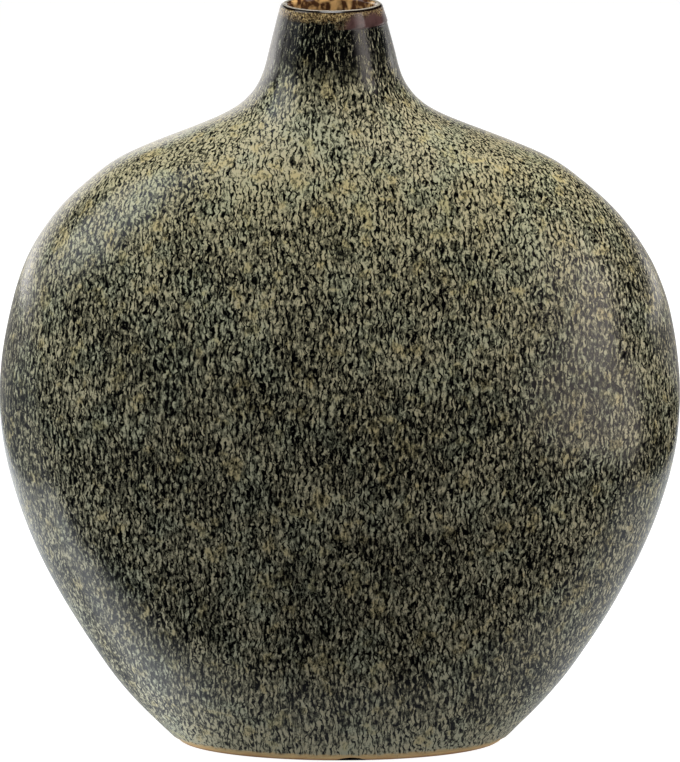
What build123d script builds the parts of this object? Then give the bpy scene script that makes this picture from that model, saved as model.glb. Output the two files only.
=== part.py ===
from build123d import *

import os
from math import sqrt

import numpy as np

# A flattened bottle vase in glazed stoneware, in millimetres.
# The origin is the middle of the foot, on the surface that the vase stands on. +Z is up and the front faces -Y.
# Two dished walls stand on an oval floor with a foot ring, and a round neck is luted on top of them.
# A glaze coat covers the outside and laps over the lip into the mouth. Another covers the inside from there down.

# Width and depth outside the glaze at the heights where the outline turns, from the foot up.
# Each rise is the height above the station before it.
foot_width = 145.4
foot_depth = 70.0
heel_rise = 24.2
flank_rise = 25.8
belly_rise = 96.6
body_width = 300.0
body_depth = 144.0
shoulder_rise = 46.2
shoulder_width = 292.4
shoulder_depth = 139.5
crown_rise = 67.8
saddle_rise = 9.0
root_rise = 9.0
root_width = 118.4
root_depth = 82.0
throat_rise = 29.4
throat_diameter = 57.2
neck_rise = 23.5
lip_diameter = 45.0
mouth_diameter = 37.0

# Heel and flank lie this share of the way from the foot's size to the body's.
heel_share = 0.2975
flank_share = 0.532

# Crown and saddle lie this share of the way from the neck root's size to the shoulder's.
crown_width_share = 0.4724
crown_depth_share = 0.3304
saddle_width_share = 0.2862
saddle_depth_share = 0.174

# The neck is luted on to the walls this far above the neck's root.
neck_joint_rise = 9.5

# The neck stands a little to the left of the body's middle.
neck_offset = -3.7

# Clay and glaze thicknesses.
wall_thickness = 6.0
floor_thickness = 7.0
glaze_thickness = 0.6
liner_thickness = 0.4

# The outer coat laps over the lip and this far down the bore, as thin there as the liner that it meets.
rim_lap = 6.0

# The foot ring, the strip of it that stays bare below the glaze, and its arched vent notch at the front.
foot_height = 6.0
foot_ring_width = 9.0
bare_strip_height = 2.0
notch_width = 14.0
notch_height = 1.6
notch_offset = 5.0

# Oval sections shape each stretch between two stations, none closer to another than the least gap.
sections_per_stretch = 4
least_section_gap = 1.0


def between(low, high, share):
    return low + share * (high - low)


rises = [0, heel_rise, flank_rise, belly_rise, shoulder_rise, crown_rise, saddle_rise, root_rise, throat_rise]
station_heights = np.cumsum(rises)
station_widths = [
    foot_width,
    between(foot_width, body_width, heel_share),
    between(foot_width, body_width, flank_share),
    body_width,
    shoulder_width,
    between(root_width, shoulder_width, crown_width_share),
    between(root_width, shoulder_width, saddle_width_share),
    root_width,
    throat_diameter,
]
station_depths = [
    foot_depth,
    between(foot_depth, body_depth, heel_share),
    between(foot_depth, body_depth, flank_share),
    body_depth,
    shoulder_depth,
    between(root_depth, shoulder_depth, crown_depth_share),
    between(root_depth, shoulder_depth, saddle_depth_share),
    root_depth,
    throat_diameter,
]
shoulder_height = station_heights[4]
root_height = station_heights[7]
joint_height = root_height + neck_joint_rise
throat_height = station_heights[8]
lip_base_height = throat_height + neck_rise
lap_height = lip_base_height - rim_lap
floor_height = foot_height + floor_thickness

# The neck's straight top: radii outside the glaze, of the clay under it, and of the bore.
throat_radius = throat_diameter / 2
lip_radius = lip_diameter / 2
mouth_radius = mouth_diameter / 2
neck_slope = (lip_radius - throat_radius) / neck_rise
glaze_reach = glaze_thickness * sqrt(1 + neck_slope**2)
clay_throat_radius = throat_radius - glaze_reach
clay_lip_radius = lip_radius - glaze_reach
clay_bore_radius = mouth_radius + liner_thickness

# The lip is a half round in the clay and again outside the coat.
lip_round = (lip_radius - mouth_radius) / 2
lip_middle_radius = (lip_radius + mouth_radius) / 2
clay_lip_round = (clay_lip_radius - clay_bore_radius) / 2
clay_lip_middle_radius = (clay_lip_radius + clay_bore_radius) / 2


def smooth_outline(heights, sizes, end_slope):
    """Return a function that gives half the size and its slope at a height, smooth through all stations."""
    half_sizes = np.array(sizes) / 2
    count = len(heights)
    steps = np.diff(heights)
    rates = np.diff(half_sizes) / steps
    matrix = np.zeros((count, count))
    target = np.zeros(count)
    matrix[0, :2] = 2, 1
    target[0] = 3 * rates[0]
    for i in range(1, count - 1):
        matrix[i, i - 1] = 1 / steps[i - 1]
        matrix[i, i] = 2 / steps[i - 1] + 2 / steps[i]
        matrix[i, i + 1] = 1 / steps[i]
        target[i] = 3 * (rates[i - 1] / steps[i - 1] + rates[i] / steps[i])
    matrix[-1, -1] = 1
    target[-1] = end_slope
    slopes = np.linalg.solve(matrix, target)

    def at(height):
        i = min(max(np.searchsorted(heights, height) - 1, 0), count - 2)
        t = (height - heights[i]) / steps[i]
        low_bend = slopes[i] - rates[i]
        high_bend = rates[i] - slopes[i + 1]
        bulge = t * (1 - t) * (low_bend * (1 - t) + high_bend * t)
        half_size = half_sizes[i] + steps[i] * (rates[i] * t + bulge)
        slope = rates[i] + low_bend * (1 - t) * (1 - 3 * t) + high_bend * t * (2 - 3 * t)
        return half_size, slope

    return at


front_outline = smooth_outline(station_heights, station_widths, neck_slope)
side_outline = smooth_outline(station_heights, station_depths, neck_slope)


def centre_x(height):
    """Return how far the section's middle has drifted towards the neck's own axis."""
    share = (height - shoulder_height) / (throat_height - shoulder_height)
    share = min(max(share, 0), 1)
    return neck_offset * share**2 * (3 - 2 * share)


def oval_sizes(height, inset):
    """Return the half width and half depth of the section that lies inset below the glazed surface."""
    half_width, width_slope = front_outline(height)
    half_depth, depth_slope = side_outline(height)
    half_width -= inset * sqrt(1 + width_slope**2)
    half_depth -= inset * sqrt(1 + depth_slope**2)
    return half_width, min(half_depth, half_width)


def oval(height, half_width, half_depth):
    return Pos(centre_x(height), 0, height) * Ellipse(half_width, half_depth)


def heights_between(low, high):
    """Return the section heights from low to high, evenly spaced within each stretch."""
    heights = [low]
    for start, end in zip(station_heights[:-1], station_heights[1:]):
        for height in np.linspace(start, end, sections_per_stretch + 1):
            if heights[-1] + least_section_gap < height < high - least_section_gap:
                heights.append(height)
    return heights + [high]


def inset_ovals(low, high, inset):
    return [oval(height, *oval_sizes(height, inset)) for height in heights_between(low, high)]


def cavity(floor, inset, bore_radius):
    """Return the hollow from the floor to the throat: the inset body, eased into the neck's straight bore."""
    sections = inset_ovals(floor, joint_height, inset)
    joint_sizes = oval_sizes(joint_height, inset)
    for height in np.linspace(joint_height, throat_height, sections_per_stretch + 1)[1:]:
        rest = (throat_height - height) / (throat_height - joint_height)
        sizes = [bore_radius + (size - bore_radius) * rest**2 for size in joint_sizes]
        sections.append(oval(height, *sizes))
    return loft(sections)


def above(solid, height):
    return split(solid, bisect_by=Plane.XY.offset(height), keep=Keep.TOP)


def below(solid, height):
    return split(solid, bisect_by=Plane.XY.offset(height), keep=Keep.BOTTOM)


def turned(*lines):
    """Return the ring that a profile of radius and height makes around the neck's axis."""
    return Pos(neck_offset, 0, 0) * revolve(Plane.XZ * make_face(lines), Axis.Z)


def half_round(middle_radius, radius):
    return CenterArc((middle_radius, lip_base_height), radius, 0, 180)


def neck_top():
    outside = Line((clay_throat_radius, throat_height), (clay_lip_radius, lip_base_height))
    lip = half_round(clay_lip_middle_radius, clay_lip_round)
    bore = Line((clay_bore_radius, lip_base_height), (clay_bore_radius, throat_height))
    return turned(outside, lip, bore, Line(bore @ 1, outside @ 0))


def outer_glaze_top():
    """Return the outer coat's top: up the straight neck, over the lip and down the bore as far as the lap."""
    outside = Line((throat_radius, throat_height), (lip_radius, lip_base_height))
    lip = half_round(lip_middle_radius, lip_round)
    lap = Line((mouth_radius, lip_base_height), (mouth_radius, lap_height))
    against_bore = Line((clay_bore_radius, lap_height), (clay_bore_radius, lip_base_height))
    under_lip = half_round(clay_lip_middle_radius, clay_lip_round)
    inside = Line((clay_lip_radius, lip_base_height), (clay_throat_radius, throat_height))
    lap_edge = Line(lap @ 1, against_bore @ 0)
    lower_edge = Line(inside @ 1, outside @ 0)
    return turned(outside, lip, lap, lap_edge, against_bore, under_lip, inside, lower_edge)


def liner_top():
    """Return the liner's straight stretch in the bore, from the throat to the outer coat's lap."""
    stretch = lap_height - throat_height
    ring = Cylinder(clay_bore_radius, stretch) - Cylinder(mouth_radius, stretch)
    return Pos(neck_offset, 0, throat_height + stretch / 2) * ring


def foot_recess():
    """Return the oval hollow inside the foot ring."""
    half_width, half_depth = oval_sizes(0, glaze_thickness)
    return extrude(Ellipse(half_width - foot_ring_width, half_depth - foot_ring_width), foot_height)


def vent_notch():
    """Return the round bar that cuts the arched notch through the front of the foot ring."""
    radius = (notch_width**2 / 4 + notch_height**2) / (2 * notch_height)
    bar = Rot(90, 0, 0) * Cylinder(radius, foot_depth / 2)
    return Pos(notch_offset, -foot_depth / 2, notch_height - radius) * bar


glazed_body = loft(inset_ovals(bare_strip_height, throat_height, 0))
clay_body = loft(inset_ovals(0, throat_height, glaze_thickness))
clay_cavity = cavity(floor_height, glaze_thickness + wall_thickness, clay_bore_radius)
glazed_cavity = cavity(
    floor_height + liner_thickness,
    glaze_thickness + wall_thickness + liner_thickness,
    mouth_radius,
)

hollow_clay = above(clay_body, floor_height) - clay_cavity
walls = below(hollow_clay, joint_height)

pieces = {
    "front_wall": split(walls, bisect_by=Plane.XZ, keep=Keep.TOP),
    "back_wall": split(walls, bisect_by=Plane.XZ, keep=Keep.BOTTOM),
    "base_slab": above(below(clay_body, floor_height), foot_height),
    "foot_ring": below(clay_body, foot_height) - foot_recess() - vent_notch(),
    "neck": above(hollow_clay, joint_height) + neck_top(),
    "outer_glaze": glazed_body - clay_body + outer_glaze_top(),
    "liner_glaze": clay_cavity - glazed_cavity + liner_top(),
}

os.makedirs("parts", exist_ok=True)
for name, piece in pieces.items():
    export_step(piece, f"parts/{name}.step")
    print(name, "volume", round(piece.volume / 1000, 2), "cm3, solids", len(piece.solids()))
print("height", round(lip_base_height + lip_round, 2))
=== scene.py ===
# %% [markdown]
# # A flattened stoneware bottle vase
# The real vase is two dished clay walls on an oval foot, with a small round neck, under a thick glossy
# glaze whose pale skin has broken into runs and specks over a blue-black ground. Its solids are packed
# already. This lesson dresses them: it sweeps the glaze coats over the clay, grows the runs out of noise,
# and sets up the studio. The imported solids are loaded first, because every measure that follows is taken
# from them.

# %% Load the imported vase
from math import cos, pi, radians, sin, tau

import bpy
import numpy as np
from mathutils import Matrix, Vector
from mathutils.bvhtree import BVHTree


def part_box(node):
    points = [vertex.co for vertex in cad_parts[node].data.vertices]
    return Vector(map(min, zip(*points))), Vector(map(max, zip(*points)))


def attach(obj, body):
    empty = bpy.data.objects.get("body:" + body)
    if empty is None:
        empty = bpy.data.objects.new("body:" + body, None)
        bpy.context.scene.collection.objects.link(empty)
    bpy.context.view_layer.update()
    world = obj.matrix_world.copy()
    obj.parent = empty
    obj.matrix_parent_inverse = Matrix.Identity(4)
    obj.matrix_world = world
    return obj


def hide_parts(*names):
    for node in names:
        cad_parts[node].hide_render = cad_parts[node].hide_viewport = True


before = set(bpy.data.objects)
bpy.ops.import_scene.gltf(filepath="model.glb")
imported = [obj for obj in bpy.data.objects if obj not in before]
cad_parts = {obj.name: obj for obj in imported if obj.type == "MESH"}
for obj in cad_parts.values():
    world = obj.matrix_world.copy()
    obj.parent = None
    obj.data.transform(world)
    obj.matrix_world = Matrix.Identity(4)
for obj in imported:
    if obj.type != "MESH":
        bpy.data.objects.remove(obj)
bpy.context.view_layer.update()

scene = bpy.context.scene
print("nodes:", sorted(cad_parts))

# %% [markdown]
# ## The camera
# The photograph looks a little down on the vase through a long lens. Its lens could be guessed by eye, but
# a long lens is easier to place by its focal length in pixels, which the vase's outline gave together with
# the distance. The sensor is fitted to the picture's width, so the lens in millimetres follows from the
# picture's 680 pixels.

# %% Place the camera
photo_width = 680
focal_length_pixels = 5430
sensor_width = 36.0
camera_distance = 2.4
camera_rise = radians(13.2)
aim_height = 0.1646

camera_data = bpy.data.cameras.new("photo_camera")
camera_data.sensor_fit = "HORIZONTAL"
camera_data.sensor_width = sensor_width
camera_data.lens = focal_length_pixels / photo_width * sensor_width
camera = bpy.data.objects.new("photo_camera", camera_data)
camera.location = (0, -camera_distance * cos(camera_rise), aim_height + camera_distance * sin(camera_rise))
camera.rotation_euler = (pi / 2 - camera_rise, 0, 0)
scene.collection.objects.link(camera)
scene.camera = camera
print("lens in mm:", round(camera_data.lens, 1))

# %% [markdown]
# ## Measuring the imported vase
# The glaze coats have to lie exactly on the clay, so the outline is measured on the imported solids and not
# drawn again. Rays are shot at a solid from outside, or from its axis, at a row of heights: each level
# gives half the width, half the depth and the middle of an oval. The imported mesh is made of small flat
# triangles, which a glossy coat would show, so a smooth cubic curve is drawn through the measured levels.

# %% Shoot rays at a solid
def surface_of(node):
    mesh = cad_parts[node].data
    points = [vertex.co for vertex in mesh.vertices]
    faces = [tuple(face.vertices) for face in mesh.polygons]
    return BVHTree.FromPolygons(points, faces)


def oval_at(surface, height, middle, outside):
    """Return half the width, half the depth and the middle of the solid's oval at a height."""
    off_axis = 0.00011
    reach = 0.5 if outside else 0
    turn = -1 if outside else 1
    found = {}
    for side in (-1, 1):
        start = Vector((middle + side * reach, off_axis, height))
        found[side] = surface.ray_cast(start, Vector((side * turn, 0, 0)))[0].x
    drift = (found[1] + found[-1]) / 2
    start = Vector((drift + off_axis, -reach, height))
    front = surface.ray_cast(start, Vector((0, -turn, 0)))[0].y
    return (found[1] - found[-1]) / 2, -front, drift


# %% Draw a smooth curve through measured levels
def smooth_curve(heights, values):
    """Return the natural cubic curve through the values, as a function of height."""
    steps = np.diff(heights)
    rates = np.diff(values) / steps
    count = len(heights)
    matrix = np.eye(count)
    target = np.zeros(count)
    for i in range(1, count - 1):
        matrix[i, i - 1:i + 2] = steps[i - 1], 2 * (steps[i - 1] + steps[i]), steps[i]
        target[i] = 6 * (rates[i] - rates[i - 1])
    bends = np.linalg.solve(matrix, target)

    def curve(height):
        i = np.clip(np.searchsorted(heights, height) - 1, 0, count - 2)
        step = steps[i]
        above = heights[i + 1] - height
        below = height - heights[i]
        bowed = (bends[i] * above**3 + bends[i + 1] * below**3) / (6 * step)
        low = (values[i] / step - bends[i] * step / 6) * above
        high = (values[i + 1] / step - bends[i + 1] * step / 6) * below
        return bowed + low + high

    return curve


# %% Measure the outline outside and inside
millimetre = 0.001
coat_low, coat_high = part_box("outer_glaze")
liner_low, liner_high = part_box("liner_glaze")
outer_surface = surface_of("outer_glaze")
liner_surface = surface_of("liner_glaze")

lip_top = coat_high.z
lap_height = liner_high.z
glaze_line = coat_low.z
floor_top = liner_low.z

outer_levels = np.linspace(glaze_line + 1 * millimetre, lip_top - 3 * millimetre, 36)
outer_ovals = np.array([oval_at(outer_surface, z, 0, True) for z in outer_levels])
half_width = smooth_curve(outer_levels, outer_ovals[:, 0])
half_depth = smooth_curve(outer_levels, outer_ovals[:, 1])
middle = smooth_curve(outer_levels, outer_ovals[:, 2])

neck_axis = outer_ovals[-1, 2]
bore_radius = oval_at(outer_surface, (lip_top + lap_height) / 2, neck_axis, False)[0]
lip_radius = half_width(lip_top - 2 * millimetre)
lip_round = (lip_radius - bore_radius) / 2
lip_base = lip_top - lip_round

inner_levels = np.linspace(floor_top + 2 * millimetre, lap_height - 2 * millimetre, 30)
inner_ovals = np.array([oval_at(liner_surface, z, middle(z), False) for z in inner_levels])
inner_half_width = smooth_curve(inner_levels, inner_ovals[:, 0])
inner_half_depth = smooth_curve(inner_levels, inner_ovals[:, 1])
inner_middle = smooth_curve(inner_levels, inner_ovals[:, 2])

widest = 2000 * outer_ovals[:, :2].max(axis=0)
measured = {"lip radius": lip_radius, "bore radius": bore_radius, "neck axis": neck_axis}
print("widest outside in mm:", widest.round(1))
print("measured in mm:", {name: round(1000 * float(value), 2) for name, value in measured.items()})

# %% [markdown]
# ## A helper for node trees
# Trees of nodes can be clicked together in the editor. Built in a script they can be read, repeated and
# changed, so one small helper adds a node, sets its options, and fills or links its inputs.

# %% Write the node helpers
def put(tree, kind, inputs=None, **options):
    """Add a node, set its options, and set or link its inputs."""
    made = tree.nodes.new(kind)
    for name, value in options.items():
        setattr(made, name, value)
    for key, value in (inputs or {}).items():
        if isinstance(value, bpy.types.NodeSocket):
            tree.links.new(value, made.inputs[key])
        else:
            made.inputs[key].default_value = value
    return made


def calc(tree, operation, *values):
    return put(tree, "ShaderNodeMath", dict(enumerate(values)), operation=operation).outputs[0]


def calc_vector(tree, operation, *values):
    return put(tree, "ShaderNodeVectorMath", dict(enumerate(values)), operation=operation).outputs[0]


def product(tree, first, *others):
    """Return all the values multiplied together."""
    for other in others:
        first = calc(tree, "MULTIPLY", first, other)
    return first


def scaled(tree, vector, factor):
    return put(tree, "ShaderNodeVectorMath", {0: vector, "Scale": factor}, operation="SCALE").outputs[0]


def ramp_between(tree, value, start, end, low=0.0, high=1.0):
    """Return a value that goes smoothly from low to high as the given one goes from start to end."""
    inputs = {"Value": value, "From Min": start, "From Max": end, "To Min": low, "To Max": high}
    return put(tree, "ShaderNodeMapRange", inputs, interpolation_type="SMOOTHSTEP").outputs[0]


def noise(tree, place, scale, detail=2.0, roughness=0.5, distortion=0.0):
    inputs = {
        "Vector": place,
        "Scale": scale,
        "Detail": detail,
        "Roughness": roughness,
        "Distortion": distortion,
    }
    return put(tree, "ShaderNodeTexNoise", inputs).outputs[0]


def add_socket(tree, name, kind, direction="INPUT", value=None):
    socket = tree.interface.new_socket(name, in_out=direction, socket_type="NodeSocket" + kind)
    if value is not None:
        socket.default_value = value
    return socket


print("node helpers ready")

# %% [markdown]
# ## The oval sweep
# Glaze coats, liner and foot ring all follow one rule: a profile carried round an oval whose width and
# depth change with height. A lathe (Screw or Spin) can only turn circles, so a Geometry Nodes tree does it:
# it lays a flat grid, reads each row's half width, half depth, height and middle from a guide line, and
# bends the row round that oval. It also stores how far round the oval each point lies, which the outer
# glaze uses later to space its dark channels. Noise then gives the coat the slow waves of a hand-dipped
# glaze and an uneven lower edge, and on the right of the rim a low bead stands out where a second dip
# ended.

# %% Build the oval sweep tree
merge_distance = 1e-6
swell_middle = 0.45
bead_edge = 0.4 * millimetre
bead_side = (-4 * millimetre, 8 * millimetre)
edge_noise_scale = 60.0
edge_reach = 5.0


def build_oval_sweep():
    tree = bpy.data.node_groups.new("oval_sweep", "GeometryNodeTree")
    add_socket(tree, "Guide", "Geometry")
    add_socket(tree, "Columns", "Int", value=64)
    add_socket(tree, "Wave Height", "Float", value=0.0)
    add_socket(tree, "Wave Scale", "Float", value=30.0)
    add_socket(tree, "Edge Sag", "Float", value=0.0)
    add_socket(tree, "Edge Height", "Float", value=0.0)
    add_socket(tree, "Dip Bead", "Float", value=0.0)
    add_socket(tree, "Dip Line", "Float", value=0.0)
    add_socket(tree, "Dip Top", "Float", value=1.0)
    add_socket(tree, "Material", "Material")
    add_socket(tree, "Mesh", "Geometry", "OUTPUT")
    given = put(tree, "NodeGroupInput").outputs

    guide_size = put(tree, "GeometryNodeAttributeDomainSize", {"Geometry": given["Guide"]})
    rows = guide_size.outputs["Point Count"]
    columns = calc(tree, "ADD", given["Columns"], 1)
    grid_inputs = {"Size X": 1.0, "Size Y": 1.0, "Vertices X": columns, "Vertices Y": rows}
    grid = put(tree, "GeometryNodeMeshGrid", grid_inputs)
    place = put(tree, "GeometryNodeInputPosition").outputs[0]
    across = put(tree, "ShaderNodeSeparateXYZ", {0: place}).outputs
    turn = calc(tree, "MULTIPLY_ADD", across["X"], tau, -pi / 2)
    last_row = calc(tree, "SUBTRACT", rows, 1)
    row = calc(tree, "ROUND", calc(tree, "MULTIPLY", calc(tree, "ADD", across["Y"], 0.5), last_row))

    def read(value, data_type):
        inputs = {"Geometry": given["Guide"], "Value": value, "Index": row}
        return put(tree, "GeometryNodeSampleIndex", inputs, data_type=data_type).outputs[0]

    def guide_value(name):
        named = put(tree, "GeometryNodeInputNamedAttribute", {"Name": name}, data_type="FLOAT")
        return read(named.outputs[0], "FLOAT")

    sizes = put(tree, "ShaderNodeSeparateXYZ", {0: read(place, "FLOAT_VECTOR")}).outputs
    x = calc(tree, "MULTIPLY_ADD", calc(tree, "COSINE", turn), sizes["X"], guide_value("middle"))
    y = calc(tree, "MULTIPLY", calc(tree, "SINE", turn), sizes["Y"])
    bent = put(tree, "ShaderNodeCombineXYZ", {"X": x, "Y": y, "Z": sizes["Z"]}).outputs[0]
    lean = calc(tree, "ARCSINE", calc(tree, "COSINE", turn))
    mean_size = calc(tree, "MULTIPLY", calc(tree, "ADD", sizes["X"], sizes["Y"]), 0.5)
    flatness = calc(tree, "MULTIPLY", calc(tree, "SUBTRACT", sizes["X"], sizes["Y"]), 0.25)
    around_oval = calc(tree, "MULTIPLY", calc(tree, "SINE", calc(tree, "MULTIPLY", lean, 2.0)), flatness)
    around_oval = calc(tree, "MULTIPLY_ADD", lean, mean_size, around_oval)

    def store(mesh, name, value, data_type="FLOAT", domain="POINT"):
        inputs = {"Geometry": mesh, "Name": name, "Value": value}
        options = {"data_type": data_type, "domain": domain}
        return put(tree, "GeometryNodeStoreNamedAttribute", inputs, **options).outputs[0]

    mesh = store(grid.outputs["Mesh"], "OFBake", grid.outputs["UV Map"], "FLOAT2", "CORNER")
    for name in ("skin", "mouth"):
        mesh = store(mesh, name, guide_value(name))
    mesh = store(mesh, "around", around_oval)
    mesh = put(tree, "GeometryNodeSetPosition", {"Geometry": mesh, "Position": bent}).outputs[0]
    merged = {"Geometry": mesh, "Distance": merge_distance}
    mesh = put(tree, "GeometryNodeMergeByDistance", merged).outputs[0]

    skin = put(tree, "GeometryNodeInputNamedAttribute", {"Name": "skin"}, data_type="FLOAT").outputs[0]
    normal = put(tree, "GeometryNodeInputNormal").outputs[0]
    swell = calc(tree, "SUBTRACT", noise(tree, place, given["Wave Scale"], 1.0), swell_middle)
    swell = product(tree, swell, given["Wave Height"], skin)
    spot = put(tree, "ShaderNodeSeparateXYZ", {0: place}).outputs
    height = spot["Z"]
    above_line = calc(tree, "SUBTRACT", height, given["Dip Line"])
    bead = product(
        tree,
        ramp_between(tree, above_line, -bead_edge, bead_edge),
        given["Dip Bead"],
        ramp_between(tree, height, given["Dip Line"], given["Dip Top"], 1.0, 0.0),
        ramp_between(tree, spot["X"], *bead_side),
    )
    swell = calc(tree, "MULTIPLY_ADD", bead, skin, swell)
    wave = scaled(tree, normal, swell)
    edge_end = calc(tree, "MULTIPLY", given["Edge Height"], edge_reach)
    near_edge = ramp_between(tree, height, given["Edge Height"], edge_end, 1.0, 0.0)
    flat_place = calc_vector(tree, "MULTIPLY", place, (1.0, 1.0, 0.0))
    sag = calc(tree, "SUBTRACT", noise(tree, flat_place, edge_noise_scale, 2.0), 0.5)
    sag = product(tree, sag, given["Edge Sag"], near_edge)
    drop = put(tree, "ShaderNodeCombineXYZ", {"Z": sag}).outputs[0]
    moved = {"Geometry": mesh, "Offset": calc_vector(tree, "ADD", wave, drop)}
    mesh = put(tree, "GeometryNodeSetPosition", moved).outputs[0]

    mesh = put(tree, "GeometryNodeSetShadeSmooth", {"Geometry": mesh, "Shade Smooth": True}).outputs[0]
    mesh = put(tree, "GeometryNodeRealizeInstances", {"Geometry": mesh}).outputs[0]
    mesh = put(tree, "GeometryNodeSetMaterial", {"Geometry": mesh, "Material": given["Material"]}).outputs[0]
    put(tree, "NodeGroupOutput", {"Mesh": mesh})
    return tree


oval_sweep = build_oval_sweep()
print("oval sweep nodes:", len(oval_sweep.nodes))

# %% [markdown]
# ## Guides and pieces
# A guide is a line of points whose X is half the width, Y half the depth and Z the height of a row. It also
# carries the row's middle, whether the row is on the coat's open side, and whether it lies in the mouth.
# The modifier's inputs are set by identifier, and the swept result is turned into a plain mesh, so no
# modifier stays on a piece.

# %% Write the guide and piece helpers
def make_guide(name, rows):
    """Make the line of rows. A row is half width, half depth, height, middle, skin and mouth."""
    rows = np.array(rows, float)
    mesh = bpy.data.meshes.new(name)
    mesh.from_pydata(rows[:, :3].tolist(), [(i, i + 1) for i in range(len(rows) - 1)], [])
    for column, attribute in ((3, "middle"), (4, "skin"), (5, "mouth")):
        layer = mesh.attributes.new(attribute, "FLOAT", "POINT")
        layer.data.foreach_set("value", rows[:, column].astype(np.float32))
    guide = bpy.data.objects.new(name, mesh)
    scene.collection.objects.link(guide)
    return guide


def add_tree(holder, tree, **values):
    """Put a node tree on an object and set the tree's inputs, whose names are given with _ for spaces."""
    modifier = holder.modifiers.new(tree.name, "NODES")
    modifier.node_group = tree
    for item in tree.interface.items_tree:
        key = item.name.lower().replace(" ", "_")
        if item.in_out == "INPUT" and key in values:
            modifier[item.identifier] = values[key]


def make_piece(name, guide):
    """Turn a guide's swept result into a plain mesh object at the origin, and remove the guide."""
    settings = bpy.context.evaluated_depsgraph_get()
    swept = guide.evaluated_get(settings)
    mesh = bpy.data.meshes.new_from_object(swept, preserve_all_data_layers=True, depsgraph=settings)
    mesh.name = name
    finish = [material for material in mesh.materials if material][0]
    mesh.materials.clear()
    mesh.materials.append(finish)
    mesh.polygons.foreach_set("material_index", np.zeros(len(mesh.polygons), np.int32))
    piece = bpy.data.objects.new(name, mesh)
    scene.collection.objects.link(piece)
    bpy.data.objects.remove(guide)
    triangles = sum(len(face.vertices) - 2 for face in mesh.polygons)
    print(name, "triangles:", triangles, "finish:", finish.name)
    return piece


print("guide helpers ready")

# %% [markdown]
# ## Effects that several finishes share
# A reactive glaze is two melts that part: a pale one that floats and runs, and a dark one under it. Painted
# by hand that would be thousands of strokes. A noise that is stretched along Z gives runs on the steep
# walls and round specks on the level shoulder, just as gravity does, and a level cut through it keeps as
# much of the pale melt as is asked. The dark melt also gathers in wavy channels: a ping-pong over the way
# round the oval repeats them evenly, noises make them wander and break, and paler banks line them. The
# liner's dark runs follow the same rule without channels, so the effect is a node group. A second group
# makes slow blotches, which the glaze, the liner and the bare clay all have from the kiln.

# %% Build the shared node groups
def shade(red, green, blue):
    """Return a colour written as a picture shows it, from 0 to 255, as the light values a shader needs."""
    written = np.array((red, green, blue)) / 255
    light = np.where(written <= 0.04045, written / 12.92, ((written + 0.055) / 1.055) ** 2.4)
    return (*light.tolist(), 1.0)


def blend(tree, share, first, second):
    return put(tree, "ShaderNodeMix", {0: share, 6: first, 7: second}, data_type="RGBA").outputs[2]


# The finer and slower noises have these factors of the runs' own scale, and these shares in the result.
drift_scale = 0.4
speck_scale = 1.7
speck_share = 0.35
sway_scale = 0.09
sway_share = 3.0
wiggle_scale = 0.4
wiggle_share = 1.4
knob_scale = 0.55
knob_share = 1.5
gap_scale = 0.6
gap_edge = (0.4, 0.52)
channel_spacing = 2.5 * millimetre
channel_core = 0.06
channel_edge = 0.27
bank_reach = 2.2
bank_level = 0.22


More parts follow.
